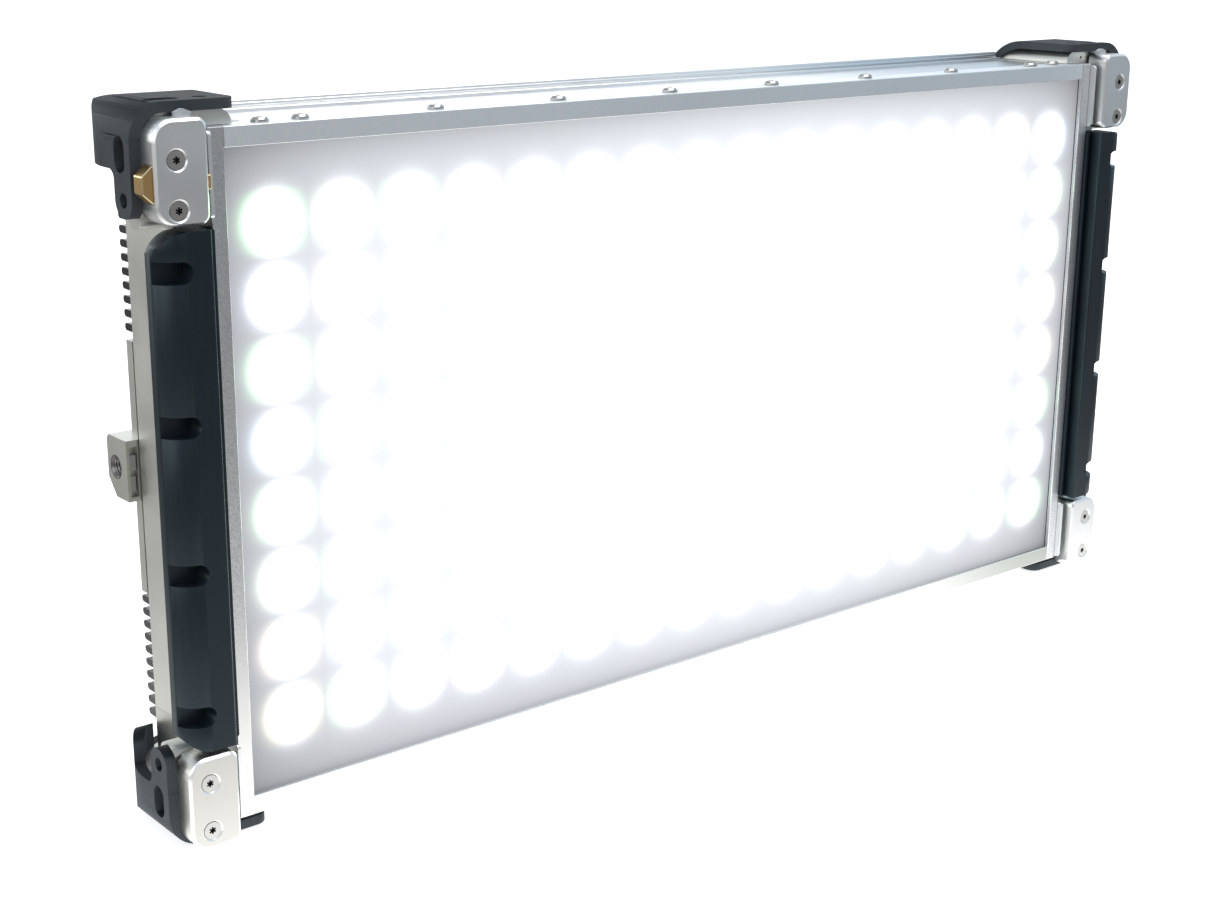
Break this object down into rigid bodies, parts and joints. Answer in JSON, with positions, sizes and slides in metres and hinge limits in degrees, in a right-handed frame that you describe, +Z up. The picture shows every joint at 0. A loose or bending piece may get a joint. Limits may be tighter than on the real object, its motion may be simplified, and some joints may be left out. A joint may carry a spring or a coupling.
{
  "type": "led panel light",
  "caption": "Flat rectangular studio soft light with a framed opal diffuser, side accessory rails, rubber corner bumpers, a finned back and side lugs for a yoke.",
  "frame": {"origin": "centre of the footprint of the whole part, at the undersides of the lower bumpers", "axes": "+X across the panel to the right as seen from the lit side, +Y from the lit face to the back, +Z up"},
  "size_m": [0.646, 0.1054, 0.326],
  "materials": {
    "bezel": "bead-blasted, clear anodised",
    "satin": "satin anodised",
    "casting": "warm grey, fine texture",
    "rail": "satin black anodised",
    "bumper": "moulded rubber, matte",
    "steel": "stainless, machined",
    "dark_steel": "threaded steel bush",
    "brass": "satin brass",
    "sink": "grey anodised, extruded",
    "diffuser": "opal acrylic, lit from behind",
    "reflector": "white reflector",
    "gasket": "soft seal",
    "board": "circuit board",
    "board_white": "white circuit board",
    "emitter": "lit diode",
    "housing": "dark grey powder coat",
    "panel": "control panel",
    "screen": "dark glossy window",
    "knob": "soft-touch knob",
    "button": "moulded button",
    "rocker": "red rocker",
    "socket": "moulded socket",
    "module": "folded sheet case"
  },
  "bodies": {
    "chassis": {"bezel_left": "bezel", "bezel_right": "bezel", "bezel_top": "bezel", "bezel_bottom": "bezel", "bezel_screws": "steel", "diffuser_panel": "diffuser", "diffuser_gasket": "gasket", "diffuser_frame": "reflector", "reflector_cups": "reflector", "led_boards": "board_white", "led_emitters": "emitter", "heat_spreader": "sink", "side_extrusion_left": "casting", "side_extrusion_right": "casting", "top_extrusion": "bezel", "bottom_extrusion": "bezel", "heat_sink_upper": "sink", "heat_sink_lower": "sink", "rear_plate": "sink", "corner_block_tl": "casting", "corner_block_tr": "casting", "corner_block_bl": "casting", "corner_block_br": "casting", "bumper_tl": "bumper", "bumper_tr": "bumper", "bumper_bl": "bumper", "bumper_br": "bumper", "bumper_screws": "steel", "accessory_rail_left": "rail", "accessory_rail_right": "rail", "bracket_tl": "satin", "bracket_tr": "satin", "bracket_bl": "satin", "bracket_br": "satin", "bracket_screws": "steel", "guide_plates": "satin", "latch_spring": "steel", "yoke_rail_left": "casting", "yoke_rail_right": "casting", "yoke_inserts": "dark_steel", "yoke_screws": "steel", "lug_pads": "satin", "rear_housing": "housing", "housing_screws": "steel", "driver_board": "board", "power_module": "module", "control_board": "board", "control_panel": "panel", "display_window": "screen", "switch_frame": "panel", "power_inlet": "socket", "data_sockets": "socket"},
    "latch": {"accessory_latch": "brass"},
    "knob_left": {"knob_left": "knob"},
    "knob_right": {"knob_right": "knob"},
    "button_1": {"button_1": "button"},
    "button_2": {"button_2": "button"},
    "button_3": {"button_3": "button"},
    "rocker": {"power_rocker": "rocker"}
  },
  "joints": [
    {"name": "latch_slide", "type": "slide", "parent": "chassis", "child": "latch", "axis": [-1, 0, 0], "range_m": [0, 0.0035], "stiffness_N_per_m": 800, "deforming": ["latch_spring"]},
    {"name": "knob_left_turn", "type": "hinge", "parent": "chassis", "child": "knob_left", "pos_m": [0.062, 0.04755, 0.175], "axis": [0, 1, 0], "continuous": true},
    {"name": "knob_right_turn", "type": "hinge", "parent": "chassis", "child": "knob_right", "pos_m": [0.092, 0.04755, 0.175], "axis": [0, 1, 0], "continuous": true},
    {"name": "button_1_press", "type": "slide", "parent": "chassis", "child": "button_1", "axis": [0, -1, 0], "range_m": [0, 0.001], "stiffness_N_per_m": 600},
    {"name": "button_2_press", "type": "slide", "parent": "chassis", "child": "button_2", "axis": [0, -1, 0], "range_m": [0, 0.001], "stiffness_N_per_m": 600},
    {"name": "button_3_press", "type": "slide", "parent": "chassis", "child": "button_3", "axis": [0, -1, 0], "range_m": [0, 0.001], "stiffness_N_per_m": 600},
    {"name": "rocker_tip", "type": "hinge", "parent": "chassis", "child": "rocker", "pos_m": [0.062, 0.04105, 0.137], "axis": [0, 0, 1], "range_deg": [0, 18]}
  ]
}
